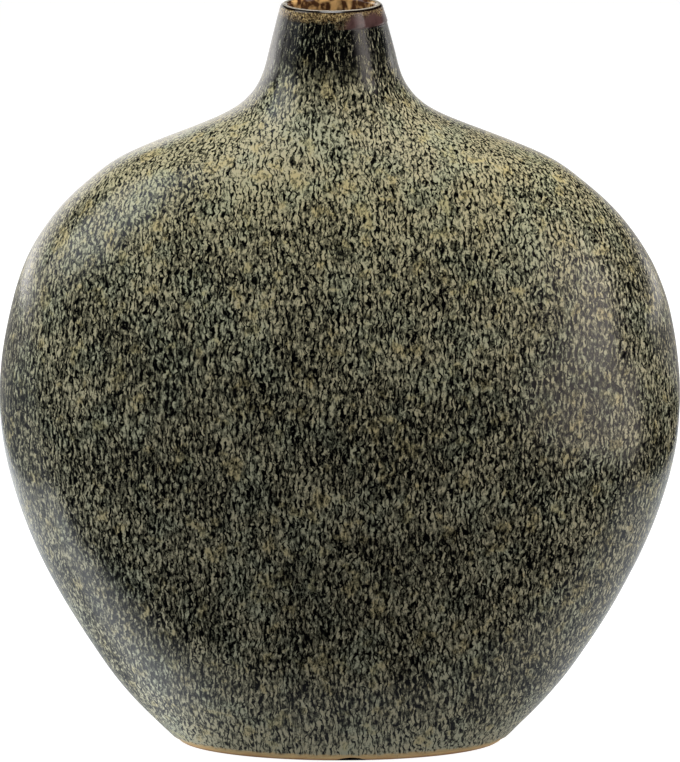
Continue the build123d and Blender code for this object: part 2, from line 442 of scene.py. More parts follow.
def build_broken_runs():
    tree = bpy.data.node_groups.new("broken_runs", "ShaderNodeTree")
    add_socket(tree, "Place", "Vector")
    add_socket(tree, "Scale", "Float", value=400.0)
    add_socket(tree, "Stretch", "Float", value=2.5)
    add_socket(tree, "Wander", "Float", value=0.001)
    add_socket(tree, "Thickness", "Float", value=0.0)
    add_socket(tree, "Spread", "Float", value=0.2)
    add_socket(tree, "Channels", "Float", value=0.0)
    add_socket(tree, "Around", "Float", value=0.0)
    add_socket(tree, "Tone", "Float", "OUTPUT")
    given = put(tree, "NodeGroupInput").outputs
    def at_scale(factor):
        return calc(tree, "MULTIPLY", given["Scale"], factor)

    drift_inputs = {"Vector": given["Place"], "Scale": at_scale(drift_scale), "Detail": 1.0}
    drift = put(tree, "ShaderNodeTexNoise", drift_inputs).outputs["Color"]
    drift = calc_vector(tree, "SUBTRACT", drift, (0.5, 0.5, 0.5))
    place = calc_vector(tree, "ADD", given["Place"], scaled(tree, drift, given["Wander"]))
    shrink = calc(tree, "DIVIDE", 1.0, given["Stretch"])
    squeeze = put(tree, "ShaderNodeCombineXYZ", {"X": 1.0, "Y": 1.0, "Z": shrink}).outputs[0]
    long_place = calc_vector(tree, "MULTIPLY", place, squeeze)
    runs = noise(tree, long_place, given["Scale"], 1.5, 0.5, 0.4)
    specks = calc(tree, "SUBTRACT", noise(tree, place, at_scale(speck_scale), 1.0), 0.5)
    depth = calc(tree, "MULTIPLY_ADD", specks, speck_share, runs)
    above = calc(tree, "ADD", calc(tree, "SUBTRACT", depth, 0.5), given["Thickness"])
    lowest = calc(tree, "MULTIPLY", given["Spread"], -1.0)
    tone_inputs = {"Value": above, "From Min": lowest, "From Max": given["Spread"]}
    tone = put(tree, "ShaderNodeMapRange", tone_inputs).outputs[0]

    sway = noise(tree, given["Place"], at_scale(sway_scale), 1.0)
    wiggle = noise(tree, long_place, at_scale(wiggle_scale), 1.0)
    knobs = noise(tree, place, at_scale(knob_scale), 1.0)
    bend = calc(tree, "MULTIPLY", wiggle, wiggle_share)
    bend = calc(tree, "MULTIPLY_ADD", knobs, knob_share, bend)
    bend = calc(tree, "MULTIPLY_ADD", sway, sway_share, bend)
    ridge = calc(tree, "ADD", calc(tree, "DIVIDE", given["Around"], channel_spacing), bend)
    ridge = calc(tree, "PINGPONG", ridge, 0.5)
    whole = ramp_between(tree, noise(tree, long_place, at_scale(gap_scale), 1.0), *gap_edge)
    channel = ramp_between(tree, ridge, channel_core, channel_edge, 1.0, 0.0)
    channel = calc(tree, "MULTIPLY", channel, whole)
    banks = ramp_between(tree, ridge, channel_edge, bank_reach * channel_edge, bank_level, 0.0)
    cut = calc(tree, "SUBTRACT", calc(tree, "MULTIPLY", banks, whole), channel)
    tone = calc(tree, "MULTIPLY_ADD", cut, given["Channels"], tone)
    put(tree, "NodeGroupOutput", {"Tone": put(tree, "ShaderNodeClamp", {"Value": tone}).outputs[0]})
    return tree


def build_kiln_blotches():
    tree = bpy.data.node_groups.new("kiln_blotches", "ShaderNodeTree")
    add_socket(tree, "Place", "Vector")
    add_socket(tree, "Scale", "Float", value=40.0)
    add_socket(tree, "Start", "Float", value=0.5)
    add_socket(tree, "Full", "Float", value=0.6)
    add_socket(tree, "Blotch", "Float", "OUTPUT")
    given = put(tree, "NodeGroupInput").outputs
    clouds = noise(tree, given["Place"], given["Scale"], 2.5, 0.55, 0.3)
    put(tree, "NodeGroupOutput", {"Blotch": ramp_between(tree, clouds, given["Start"], given["Full"])})
    return tree


broken_runs = build_broken_runs()
kiln_blotches = build_kiln_blotches()


def runs_of(tree, place, **inputs):
    """Place the broken runs in a material. Return their tone: 0 in the dark ground, 1 in the palest melt."""
    made = put(tree, "ShaderNodeGroup", node_tree=broken_runs)
    for key, value in {"place": place, **inputs}.items():
        socket = made.inputs[key.title()]
        if isinstance(value, bpy.types.NodeSocket):
            tree.links.new(value, socket)
        else:
            socket.default_value = value
    return made.outputs["Tone"]


def blotches_of(tree, place, scale, start, full):
    made = put(tree, "ShaderNodeGroup", node_tree=kiln_blotches)
    tree.links.new(place, made.inputs["Place"])
    made.inputs["Scale"].default_value = scale
    made.inputs["Start"].default_value = start
    made.inputs["Full"].default_value = full
    return made.outputs["Blotch"]


print("groups:", broken_runs.name, kiln_blotches.name)

# %% Start a finish
def new_finish(name):
    """Make a Principled material. Return it, its node tree, the shader and the object coordinates."""
    material = bpy.data.materials.new(name)
    material.use_nodes = True
    tree = material.node_tree
    tree.nodes.clear()
    shader = put(tree, "ShaderNodeBsdfPrincipled")
    put(tree, "ShaderNodeOutputMaterial", {"Surface": shader.outputs[0]})
    place = put(tree, "ShaderNodeTexCoord").outputs["Object"]
    return material, tree, shader, place


def height_curve(tree, height, stops):
    """Return a value that follows stops of height in millimetres and value."""
    share = calc(tree, "DIVIDE", height, lip_top)
    ramp = put(tree, "ShaderNodeValToRGB", {0: share})
    elements = ramp.color_ramp.elements
    for i, (stop_height, value) in enumerate(stops):
        element = elements[i] if i < 2 else elements.new(1.0)
        element.position = stop_height * millimetre / lip_top
        element.color = (value, value, value, 1.0)
    return ramp.outputs[0]


def colour_curve(tree, share, stops):
    """Return a colour that follows stops of share and colour."""
    ramp = put(tree, "ShaderNodeValToRGB", {0: share})
    elements = ramp.color_ramp.elements
    for i, (position, colour) in enumerate(stops):
        element = elements[i] if i < 2 else elements.new(1.0)
        element.position = position
        element.color = colour
    return ramp.outputs[0]


def blend_value(tree, share, first, second):
    return put(tree, "ShaderNodeMix", {0: share, 2: first, 3: second}).outputs[0]


def tinted(tree, share, colour, tint):
    inputs = {0: share, 6: colour, 7: tint}
    return put(tree, "ShaderNodeMix", inputs, data_type="RGBA", blend_type="MULTIPLY").outputs[2]


def bumped(tree, height, depth, strength):
    inputs = {"Strength": strength, "Distance": depth, "Height": height}
    return put(tree, "ShaderNodeBump", inputs).outputs["Normal"]


print("finish helpers ready")

# %% [markdown]
# ## The liner glaze
# Inside, one honey-brown glaze was poured and drained, so it is plain but for darker runs. It takes the
# same node group as the outside will, with longer and fewer runs and no channels. The outer coat laps into
# the mouth and melts into this glaze there, so the colour is a function that both finishes call.

# %% Make the liner glaze
liner_gold = shade(206, 166, 110)
liner_brown = shade(62, 38, 24)


def poured_liner(tree, place):
    """Return the liner's colour and its dark runs."""
    runs = runs_of(tree, place, scale=260.0, stretch=1.5, wander=0.004, thickness=0.03, spread=0.1)
    clouds = blotches_of(tree, place, 45.0, 0.35, 0.65)
    colour = blend(tree, runs, liner_gold, liner_brown)
    colour = blend(tree, calc(tree, "MULTIPLY", clouds, 0.3), colour, liner_brown)
    return colour, runs


def make_liner_glaze():
    material, tree, shader, place = new_finish("liner_glaze")
    colour, runs = poured_liner(tree, place)
    tree.links.new(colour, shader.inputs["Base Color"])
    gloss = put(tree, "ShaderNodeMapRange", {"Value": runs, "To Min": 0.22, "To Max": 0.14}).outputs[0]
    tree.links.new(gloss, shader.inputs["Roughness"])
    tree.links.new(bumped(tree, runs, 0.0001, 0.4), shader.inputs["Normal"])
    return material


liner_glaze = make_liner_glaze()
print("liner glaze nodes:", len(liner_glaze.node_tree.nodes))

# %% [markdown]
# ## The outer glaze
# Outside, the pale melt covers nearly all of the shoulder, breaks into worm-like runs on the belly, pulls
# into thin threads on the steep neck and gathers again just above the foot. How much of it stays is a curve
# over height, and slow clusters thin and thicken it. Thick spots fire to a smooth tan, others to a colder
# grey.

# %% Spread the runs over the outside
melt_tones = (
    (0.0, shade(3, 3, 4)),
    (0.09, shade(11, 11, 11)),
    (0.335, shade(44, 44, 35)),
    (0.5, shade(71, 70, 58)),
    (0.665, shade(95, 93, 78)),
    (0.91, shade(128, 125, 106)),
    (1.0, shade(156, 151, 128)),
)
thickness_stops = (
    (0, 0.68),
    (5, 0.64),
    (10, 0.58),
    (20, 0.52),
    (40, 0.485),
    (150, 0.475),
    (205, 0.505),
    (235, 0.515),
    (250, 0.535),
    (262, 0.575),
    (275, 0.595),
    (284, 0.595),
    (292, 0.545),
    (300, 0.49),
    (312, 0.44),
)
middle_thickness = 0.475
cluster_share = 0.07
tan_share = 0.05
foot_fade = 55 * millimetre
foot_slowing = 0.25
neck_fade = 25 * millimetre
neck_slowing = 0.5
neck_runs_start = 302 * millimetre
neck_runs_full = 317 * millimetre
neck_runs_wobble = 6 * millimetre
neck_thickness = -0.125
belly_height = 146 * millimetre
foot_narrowing = 1.06


def spread_runs(tree, place, spot, tan):
    """Return the melt's tone: runs that lengthen towards foot and neck, and thin threads on the neck."""
    height = spot["Z"]
    clusters = calc(tree, "SUBTRACT", blotches_of(tree, place, 34.0, 0.34, 0.66), 0.5)
    thickness = calc(tree, "SUBTRACT", height_curve(tree, height, thickness_stops), middle_thickness)
    thickness = calc(tree, "MULTIPLY_ADD", clusters, cluster_share, thickness)
    thickness = calc(tree, "MULTIPLY_ADD", tan, tan_share, thickness)

    near_foot = calc(tree, "EXPONENT", calc(tree, "DIVIDE", height, -foot_fade))
    near_neck = calc(tree, "DIVIDE", calc(tree, "SUBTRACT", height, lip_top), neck_fade)
    near_neck = calc(tree, "EXPONENT", near_neck)
    run_height = calc(tree, "MULTIPLY_ADD", near_foot, foot_slowing * foot_fade, height)
    run_height = calc(tree, "MULTIPLY_ADD", near_neck, -neck_slowing * neck_fade, run_height)
    under_belly = calc(tree, "SUBTRACT", 1.0, calc(tree, "DIVIDE", height, belly_height))
    under_belly = calc(tree, "MAXIMUM", under_belly, 0.0)
    narrowing = calc(tree, "MULTIPLY_ADD", calc(tree, "POWER", under_belly, 3.0), foot_narrowing, 1.0)
    run_depth = calc(tree, "MULTIPLY", spot["Y"], narrowing)
    run_spot = {"X": spot["X"], "Y": run_depth, "Z": run_height}
    run_place = put(tree, "ShaderNodeCombineXYZ", run_spot).outputs[0]

    body_runs = {"scale": 800.0, "stretch": 2.3, "wander": 0.0016, "spread": 0.175}
    body_runs["channels"] = calc(tree, "MULTIPLY_ADD", tan, -0.8, 0.95)
    body_runs["around"] = put(tree, "ShaderNodeAttribute", attribute_name="around").outputs["Fac"]
    body_tone = runs_of(tree, run_place, thickness=thickness, **body_runs)
    neck_runs = {"scale": 1300.0, "stretch": 11.0, "wander": 0.0007, "spread": 0.125, "channels": 0.2}
    neck_tone = runs_of(tree, place, thickness=neck_thickness, **neck_runs)
    ragged_height = calc(tree, "MULTIPLY_ADD", clusters, neck_runs_wobble, height)
    on_neck = ramp_between(tree, ragged_height, neck_runs_start, neck_runs_full)
    return blend_value(tree, on_neck, body_tone, neck_tone)


print("stops of thickness:", len(thickness_stops))

# %% [markdown]
# ## The second dip at the rim
# The rim was dipped once more, in a brown glaze. On one side it broke into gold specks and faded, on the
# other it stayed a smooth purple-brown that ends in a crisp line. The crest of the lip is thin and dark,
# with a painted highlight, a pale line of reflected light, along its very top. Each of these is a colour
# with a mask over height, and the two sides are told apart by X.

# %% Mix the rim's colours
rim_gold = shade(168, 149, 108)
rim_brown = shade(98, 80, 52)
rim_purple = shade(68, 49, 48)
rim_dark = shade(16, 10, 8)
# A painted highlight colour: the pale gleam of reflected light along the crest.
crest_highlight = shade(150, 144, 132)
side_edge = (-3 * millimetre, 4 * millimetre)
side_wobble = 16 * millimetre
height_wobble = 5 * millimetre
line_wobble = 1 * millimetre
crisp_line = 325.5 * millimetre
line_half_width = 0.3 * millimetre
faded_edge = (327.5 * millimetre, 330.5 * millimetre)
gold_edge = (329.5 * millimetre, 332 * millimetre, 0.0, 0.65)
crest_edge = (332.1 * millimetre, 332.8 * millimetre)
# Where the painted highlight lies, along the very top of the crest.
crest_highlight_edge = (lip_top - 0.3 * millimetre, lip_top - 0.15 * millimetre, 0.0, 0.85)


def rim_band(tree, place, spot):
    """Return the rim's colour, with a painted crest highlight, and how far the second dip covers the first.
    """
    wobble = calc(tree, "SUBTRACT", noise(tree, place, 140.0, 1.0), 0.5)
    across = calc(tree, "MULTIPLY_ADD", wobble, side_wobble, spot["X"])
    right = ramp_between(tree, across, *side_edge)
    height = calc(tree, "MULTIPLY_ADD", wobble, height_wobble, spot["Z"])
    specks = runs_of(tree, place, scale=1600.0, stretch=1.4, wander=0.0005, thickness=-0.02, spread=0.16)
    gold = colour_curve(tree, specks, ((0.0, rim_dark), (0.5, rim_brown), (1.0, rim_gold)))
    clouds = blotches_of(tree, place, 160.0, 0.35, 0.65)
    purple = blend(tree, calc(tree, "MULTIPLY", clouds, 0.6), rim_purple, rim_dark)
    purple = blend(tree, ramp_between(tree, height, *gold_edge), purple, gold)
    colour = blend(tree, right, gold, purple)
    colour = blend(tree, ramp_between(tree, spot["Z"], *crest_edge), colour, rim_dark)
    # The pale line on the crest's top is a painted highlight.
    colour = blend(tree, ramp_between(tree, spot["Z"], *crest_highlight_edge), colour, crest_highlight)
    faded = ramp_between(tree, height, *faded_edge)
    edge = calc(tree, "MULTIPLY_ADD", wobble, line_wobble, spot["Z"])
    crisp = ramp_between(tree, edge, crisp_line - line_half_width, crisp_line + line_half_width)
    return colour, blend_value(tree, right, faded, crisp)


print("rim band between", round(1000 * crisp_line, 1), "and", round(1000 * lip_top, 1), "mm")

# %% Make the outer glaze
tan_tint = (1.07, 1.0, 0.84, 1.0)
warm_tint = (1.02, 1.0, 0.89, 1.0)
cold_tint = (0.92, 1.0, 1.05, 1.0)
warm_stops = ((0, 0.1), (120, 0.3), (215, 0.55), (260, 1.0), (290, 0.6))
thin_edge = shade(188, 160, 112)
thin_band = (glaze_line + 0.5 * millimetre, glaze_line + 2.0 * millimetre, 0.9, 0.0)
thin_wobble = 3 * millimetre
mouth_edge = (0.3, 0.9)


def make_outer_glaze():
    material, tree, shader, place = new_finish("outer_glaze")
    spot = put(tree, "ShaderNodeSeparateXYZ", {0: place}).outputs
    tan = blotches_of(tree, place, 120.0, 0.56, 0.67)
    cold = blotches_of(tree, place, 55.0, 0.46, 0.66)
    tone = spread_runs(tree, place, spot, tan)
    warm_height = height_curve(tree, spot["Z"], warm_stops)
    colour = colour_curve(tree, tone, melt_tones)
    colour = tinted(tree, warm_height, colour, warm_tint)
    colour = tinted(tree, cold, colour, cold_tint)
    colour = tinted(tree, tan, colour, tan_tint)

    ragged = calc(tree, "SUBTRACT", noise(tree, place, 260.0), 0.5)
    ragged = calc(tree, "MULTIPLY_ADD", ragged, thin_wobble, spot["Z"])
    thin = ramp_between(tree, ragged, *thin_band)
    colour = blend(tree, thin, colour, thin_edge)
    rim_colour, on_rim = rim_band(tree, place, spot)
    colour = blend(tree, on_rim, colour, rim_colour)
    mouth = put(tree, "ShaderNodeAttribute", attribute_name="mouth").outputs["Fac"]
    in_mouth = ramp_between(tree, mouth, *mouth_edge)
    colour = blend(tree, in_mouth, colour, poured_liner(tree, place)[0])

    tree.links.new(colour, shader.inputs["Base Color"])
    relief = calc(tree, "MULTIPLY", tone, calc(tree, "SUBTRACT", 1.0, on_rim))
    gloss = put(tree, "ShaderNodeMapRange", {"Value": relief, "To Min": 0.1, "To Max": 0.2}).outputs[0]
    tree.links.new(gloss, shader.inputs["Roughness"])
    tree.links.new(bumped(tree, relief, 0.00006, 0.6), shader.inputs["Normal"])
    return material


outer_glaze = make_outer_glaze()
print("outer glaze nodes:", len(outer_glaze.node_tree.nodes))

# %% [markdown]
# ## The bare clay
# The foot ring is wiped clean of glaze before firing, so its clay shows: a warm sandy tan, toasted to
# orange-brown where it stood on the kiln shelf. The clay under the glaze gets the same finish, which shows
# from below.

# %% Make the bare clay
clay_sand = shade(204, 172, 122)
clay_toast = shade(150, 98, 52)
clay_iron = shade(96, 66, 42)


def make_stoneware():
    material, tree, shader, place = new_finish("stoneware")
    height = put(tree, "ShaderNodeSeparateXYZ", {0: place}).outputs["Z"]
    clouds = blotches_of(tree, place, 70.0, 0.4, 0.68)
    low = ramp_between(tree, height, 0.0, 1.4 * millimetre, 1.0, 0.0)
    toasted = calc(tree, "MULTIPLY_ADD", clouds, 0.3, calc(tree, "MULTIPLY", low, 0.8))
    toasted = calc(tree, "MINIMUM", toasted, 1.0)
    grains = noise(tree, place, 1600.0, 2.0, 0.6)
    iron = ramp_between(tree, noise(tree, place, 900.0, 1.0), 0.68, 0.76)
    colour = blend(tree, toasted, clay_sand, clay_toast)
    colour = blend(tree, calc(tree, "MULTIPLY", iron, 0.5), colour, clay_iron)
    tree.links.new(colour, shader.inputs["Base Color"])
    grit = put(tree, "ShaderNodeMapRange", {"Value": grains, "To Min": 0.7, "To Max": 0.95}).outputs[0]
    tree.links.new(grit, shader.inputs["Roughness"])
    tree.links.new(bumped(tree, grains, 0.0002, 0.5), shader.inputs["Normal"])
    return material


stoneware = make_stoneware()
for node in ("front_wall", "back_wall", "base_slab", "neck"):
    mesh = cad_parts[node].data
    mesh.materials.clear()
    mesh.materials.append(stoneware)
print("stoneware nodes:", len(stoneware.node_tree.nodes))

# %% [markdown]
# ## The outer coat
# The coat is a closed shell about half a millimetre thick. Its profile starts at the glaze line, rolls out
# into a small bead, climbs the wall, turns over the lip and ends a little way down the bore, then goes back
# along the clay. The open side gets most of the rows, spaced evenly along the wall, because only that side
# is ever seen.

# %% Sweep the outer coat
coat_thickness = 0.55 * millimetre
bead_rows_count = 6
wall_rows = 212
dip_rows = 26
lip_rows_count = 16
bore_rows = 6
back_rows = 34
coat_columns = 320
skin_rise = 4 * millimetre
dip_start = 323 * millimetre
dip_bead = 0.35 * millimetre
lip_gap = 0.1 * millimetre


def inset_row(height, inset, skin, mouth=0.0):
    """Return the row that lies inset below the outside at a height."""
    step = 0.5 * millimetre
    sizes = []
    for size in (half_width, half_depth):
        slope = (size(height + step) - size(height - step)) / (2 * step)
        sizes.append(size(height) - inset * (1 + slope**2) ** 0.5)
    return (*sizes, height, middle(height), skin, mouth)


def even_heights(low, high, count):
    """Return heights that are evenly spaced along the front outline."""
    fine = np.linspace(low, high, 2000)
    widths = half_width(fine)
    length = np.concatenate(([0], np.cumsum(np.hypot(np.diff(fine), np.diff(widths)))))
    return np.interp(np.linspace(0, length[-1], count), length, fine)


def round_row(radius, height, skin, mouth):
    return (radius, radius, height, neck_axis, skin, mouth)


def lip_rows(radius, count, skin):
    """Return the rows over the lip, from the outside to the bore."""
    rows = []
    for turn in np.linspace(0, pi, count):
        mouth = max(0.0, -cos(turn))
        out = lip_radius - lip_round + radius * cos(turn)
        rows.append(round_row(out, lip_base + radius * sin(turn), skin, mouth))
    return rows


bead_rows = []
for turn in np.linspace(-pi / 2, 0, bead_rows_count):
    bead_height = glaze_line + coat_thickness * (1 + sin(turn))
    bead_rows.append(inset_row(bead_height, coat_thickness * (1 - cos(turn)), 0.0))
wall_start = glaze_line + 1.5 * coat_thickness
wall_heights = np.concatenate((
    even_heights(wall_start, dip_start, wall_rows),
    even_heights(dip_start, lip_base - lip_gap, dip_rows)[1:],
))
wall = [inset_row(z, 0.0, min(1.0, (z - wall_start) / skin_rise)) for z in wall_heights]
over_lip = lip_rows(lip_round, lip_rows_count, 0.0)
down_bore = [round_row(bore_radius, z, 0.0, 1.0) for z in np.linspace(lip_base, lap_height, bore_rows)[1:]]
clay_bore = bore_radius + coat_thickness * 0.7
up_bore = [round_row(clay_bore, z, 0.0, 1.0) for z in np.linspace(lap_height, lip_base, 3)]
under_lip = lip_rows(lip_round - coat_thickness, 7, 0.0)[::-1]
back_heights = even_heights(glaze_line, lip_base - lip_gap, back_rows)[::-1]
back = [inset_row(z, coat_thickness, 0.0) for z in back_heights]
open_rows = bead_rows + wall + over_lip + down_bore
coat_guide = make_guide("outer_coat_guide", open_rows + up_bore + under_lip + back)
add_tree(
    coat_guide,
    oval_sweep,
    columns=coat_columns,
    wave_height=0.9 * millimetre,
    wave_scale=28.0,
    edge_sag=1.6 * millimetre,
    edge_height=glaze_line,
    dip_bead=dip_bead,
    dip_line=crisp_line,
    dip_top=lip_base,
    material=outer_glaze,
)
outer_coat = make_piece("outer_coat", coat_guide)
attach(outer_coat, "root")
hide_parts("outer_glaze")

# %% [markdown]
# ## The liner
# The liner is the coat inside: down the bore, out into the body and over the floor. It is a closed shell as
# well, swept from the middle of the floor up to the lap in the bore and back down against the clay, so both
# ends of the guide close in a single point.

# %% Sweep the liner
liner_thickness = 0.35 * millimetre
liner_columns = 160
floor_level = floor_top + 0.4 * millimetre
floor_corner = 2 * millimetre


def liner_row(height, outset):
    """Return the row that lies outset behind the liner's open side at a height."""
    width = inner_half_width(height) + outset
    depth = inner_half_depth(height) + outset
    return (width, depth, height, inner_middle(height), 0.0, 1.0)


def floor_rows(level, outset, shares):
    """Return the rows of the floor, from its middle outwards."""
    edge = liner_row(level + floor_corner, outset)
    return [(edge[0] * share, edge[1] * share, level, edge[3], 0.0, 1.0) for share in shares]


liner_heights = np.linspace(floor_level + floor_corner, lap_height, 90)
floor_shares = np.linspace(0, 0.96, 14)
open_side = floor_rows(floor_level, 0.0, floor_shares) + [liner_row(z, 0.0) for z in liner_heights]
clay_side = floor_rows(floor_top + 0.05 * millimetre, liner_thickness, floor_shares[::4])
clay_side += [liner_row(z, liner_thickness) for z in liner_heights[::4]]
clay_side += [liner_row(lap_height, liner_thickness)]
liner_guide = make_guide("liner_guide", clay_side + open_side[::-1])
add_tree(liner_guide, oval_sweep, columns=liner_columns, material=liner_glaze)
liner = make_piece("liner", liner_guide)
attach(liner, "root")
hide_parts("liner_glaze")

# %% [markdown]
# ## The foot ring
# The vase stands on a low oval ring of bare clay. Its edges are softened by the sponge that wiped the glaze
# off, and at the front a shallow arched notch lets air out. The ring is swept as the coats are. A second
# small tree lifts the ring's underside to an arch over the notch's width, which is cleaner here than
# cutting with a Boolean.

# %% Build the vent notch tree
def build_vent_notch():
    tree = bpy.data.node_groups.new("vent_notch", "GeometryNodeTree")
    add_socket(tree, "Ring", "Geometry")
    add_socket(tree, "Notch Middle", "Float", value=0.0)
    add_socket(tree, "Notch Width", "Float", value=0.01)
    add_socket(tree, "Notch Height", "Float", value=0.001)
    add_socket(tree, "Material", "Material")
    add_socket(tree, "Ring", "Geometry", "OUTPUT")
    given = put(tree, "NodeGroupInput").outputs
    place = put(tree, "GeometryNodeInputPosition").outputs[0]
    spot = put(tree, "ShaderNodeSeparateXYZ", {0: place}).outputs
    half = calc(tree, "DIVIDE", given["Notch Width"], 2.0)
    share = calc(tree, "DIVIDE", calc(tree, "SUBTRACT", spot["X"], given["Notch Middle"]), half)
    arch = calc(tree, "SUBTRACT", 1.0, calc(tree, "MULTIPLY", share, share))
    arch = calc(tree, "MULTIPLY", arch, given["Notch Height"])
    raised = calc(tree, "MAXIMUM", spot["Z"], arch)
    lifted = put(tree, "ShaderNodeCombineXYZ", {"X": spot["X"], "Y": spot["Y"], "Z": raised}).outputs[0]
    at_front = calc(tree, "LESS_THAN", spot["Y"], 0.0)
    moved = {"Geometry": given["Ring"], "Selection": at_front, "Position": lifted}
    ring = put(tree, "GeometryNodeSetPosition", moved).outputs[0]
    ring = put(tree, "GeometryNodeRealizeInstances", {"Geometry": ring}).outputs[0]
    ring = put(tree, "GeometryNodeSetMaterial", {"Geometry": ring, "Material": given["Material"]}).outputs[0]
    put(tree, "NodeGroupOutput", {"Ring": ring})
    return tree


vent_notch = build_vent_notch()
print("vent notch nodes:", len(vent_notch.nodes))

# %% Sweep the foot ring
ring_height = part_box("foot_ring")[1].z
ring_width = 9 * millimetre
ring_rounding = 0.6 * millimetre
foot_columns = 420
coat_depth = 0.6 * millimetre
foot_width, foot_depth = inset_row(0.0, coat_depth, 0.0)[:2]
ring_rows = []
for height in np.linspace(ring_height, ring_rounding, 8):
    ring_rows.append((*inset_row(height, coat_depth, 0.0)[:3], 0.0, 0.0, 0.0))
for turn in np.linspace(0, pi / 2, 6)[1:]:
    pull = ring_rounding * (1 - cos(turn))
    rise = ring_rounding * (1 - sin(turn))
    ring_rows.append((foot_width - pull, foot_depth - pull, rise, 0.0, 0.0, 0.0))
for share in (0.25, 0.5, 0.75):
    pull = ring_rounding + share * (ring_width - 2 * ring_rounding)
    ring_rows.append((foot_width - pull, foot_depth - pull, 0.0, 0.0, 0.0, 0.0))
for turn in np.linspace(pi / 2, 0, 6):
    pull = ring_width - ring_rounding * (1 - cos(turn))
    rise = ring_rounding * (1 - sin(turn))
    ring_rows.append((foot_width - pull, foot_depth - pull, rise, 0.0, 0.0, 0.0))
for height in np.linspace(ring_rounding, ring_height, 6)[1:]:
    ring_rows.append((foot_width - ring_width, foot_depth - ring_width, height, 0.0, 0.0, 0.0))
ring_rows.append(ring_rows[0])
ring_guide = make_guide("foot_ring_guide", ring_rows[::-1])
add_tree(ring_guide, oval_sweep, columns=foot_columns, material=stoneware)
add_tree(
    ring_guide,
    vent_notch,
    notch_middle=5 * millimetre,
    notch_width=14 * millimetre,
    notch_height=1.6 * millimetre,
    material=stoneware,
)
bare_foot = make_piece("bare_foot", ring_guide)
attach(bare_foot, "root")
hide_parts("foot_ring")

# %% [markdown]
# ## The studio
# The photograph is a cut-out: white all round and a soft shadow at most. Yet the vase's gloss tells of its
# room. A white sheet lies under the vase and ends just in front of it, a lit table stands farther out at
# the right, a pale backdrop hangs behind, and there are screens at the left and the right and a small
# bright ceiling. Painted on the vase, all that would be wrong from any other side, so it is built round it.
# Light Path tells the rays apart. Reflections see the whole room. Rays that only gather light meet the
# sheet's glow and a dim fill. The camera sees plain white. Four softboxes that don't show in reflections
# light the vase. The floor under the foot is painted black to the camera, as painted shade, because hardly
# any light gets in there.

# %% Write the studio helpers
white = (1.0, 1.0, 1.0, 1.0)
black = (0.0, 0.0, 0.0, 1.0)


def emission(tree, colour, strength):
    return put(tree, "ShaderNodeEmission", {"Color": colour, "Strength": strength}).outputs[0]


def add_shaders(tree, first, second):
    return put(tree, "ShaderNodeAddShader", {0: first, 1: second}).outputs[0]


def mix_shaders(tree, share, first, second):
    return put(tree, "ShaderNodeMixShader", {0: share, 1: first, 2: second}).outputs[0]


def new_stage_finish(name):
    """Make an empty material. Return it, its node tree, the kinds of ray and the place on the stage."""
    material = bpy.data.materials.new(name)
    material.use_nodes = True
    tree = material.node_tree
    tree.nodes.clear()
    path = put(tree, "ShaderNodeLightPath").outputs
    place = put(tree, "ShaderNodeTexCoord").outputs["Object"]
    return material, tree, path, put(tree, "ShaderNodeSeparateXYZ", {0: place}).outputs


print("studio helpers ready")

# %% Lay the floor
# A ramp is a start and an end, in metres from the middle of the foot, and the values there if not 0 and 1.
sheet_front = -0.08
right_half = (0.02, 0.1)
left_half = (-0.02, -0.1)
middle_front = (sheet_front - 0.014, sheet_front + 0.012)
right_front = (sheet_front - 0.02, sheet_front + 0.06)
left_front = (sheet_front - 0.005, sheet_front + 0.045)
sheet_side = (0.35, 0.41, 1.0, 0.0)
beyond_left_side = (-0.3, -0.4, 0.0, 0.3)
left_light = (-0.045, -0.12, 0.0, 1.95)
right_light = (0.06, 0.14, 0.0, 0.42)
middle_light = 0.21
behind_vase = (-0.03, 0.01)
left_behind = (-0.12, -0.3, 0.26, 0.65)
right_behind = 1.3
sheet_colour = (0.93, 0.97, 1.0, 1.0)

# The table's edges are slants: how far a place lies towards the camera for each metre to the right.
table_near_edge = (0.09, 0.16)
table_far_edge = (0.65, 1.5, 1.0, 0.0)
table_light = (0.4, 0.6, 0.0, 1.6)
least_across = 0.01
table_colour = (1.0, 0.9, 0.85, 1.0)

# The edge of the painted black shade under the foot.
foot_shade_edge = (0.98, 1.0)
floor_grey = (0.35, 0.35, 0.35, 1.0)
shown_level = 0.88
glow_colour = (0.94, 0.98, 1.0, 1.0)
glow_gain = 1.7
least_glow = 0.04
floor_size = 6.0


def sheet_brightness(tree, spot):
    """Return how bright the white sheet under the vase is: lit unevenly, and ending in front of the vase."""
    on_right = ramp_between(tree, spot["X"], *right_half)
    on_left = ramp_between(tree, spot["X"], *left_half)
    middle_edge = ramp_between(tree, spot["Y"], *middle_front)
    right_edge = ramp_between(tree, spot["Y"], *right_front)
    left_edge = ramp_between(tree, spot["Y"], *left_front)
    ahead = blend_value(tree, on_right, middle_edge, right_edge)
    ahead = blend_value(tree, on_left, ahead, left_edge)
    within = ramp_between(tree, calc(tree, "ABSOLUTE", spot["X"]), *sheet_side)
    within = calc(tree, "MAXIMUM", within, ramp_between(tree, spot["X"], *beyond_left_side))
    left = ramp_between(tree, spot["X"], *left_light)
    right = ramp_between(tree, spot["X"], *right_light)
    level = calc(tree, "ADD", calc(tree, "ADD", left, right), middle_light)
    far_level = blend_value(tree, on_right, ramp_between(tree, spot["X"], *left_behind), right_behind)
    behind = ramp_between(tree, spot["Y"], *behind_vase, 1.0, far_level)
    return product(tree, ahead, within, level, behind)


def side_table(tree, spot):
    """Return how bright the lit table at the right is, in the wedge that the vase's right flank mirrors."""
    ahead = calc(tree, "MULTIPLY", spot["Y"], -1.0)
    slant = calc(tree, "DIVIDE", ahead, calc(tree, "MAXIMUM", spot["X"], least_across))
    near_edge = ramp_between(tree, slant, *table_near_edge)
    far_edge = ramp_between(tree, slant, *table_far_edge)
    return product(tree, near_edge, far_edge, ramp_between(tree, spot["X"], *table_light))


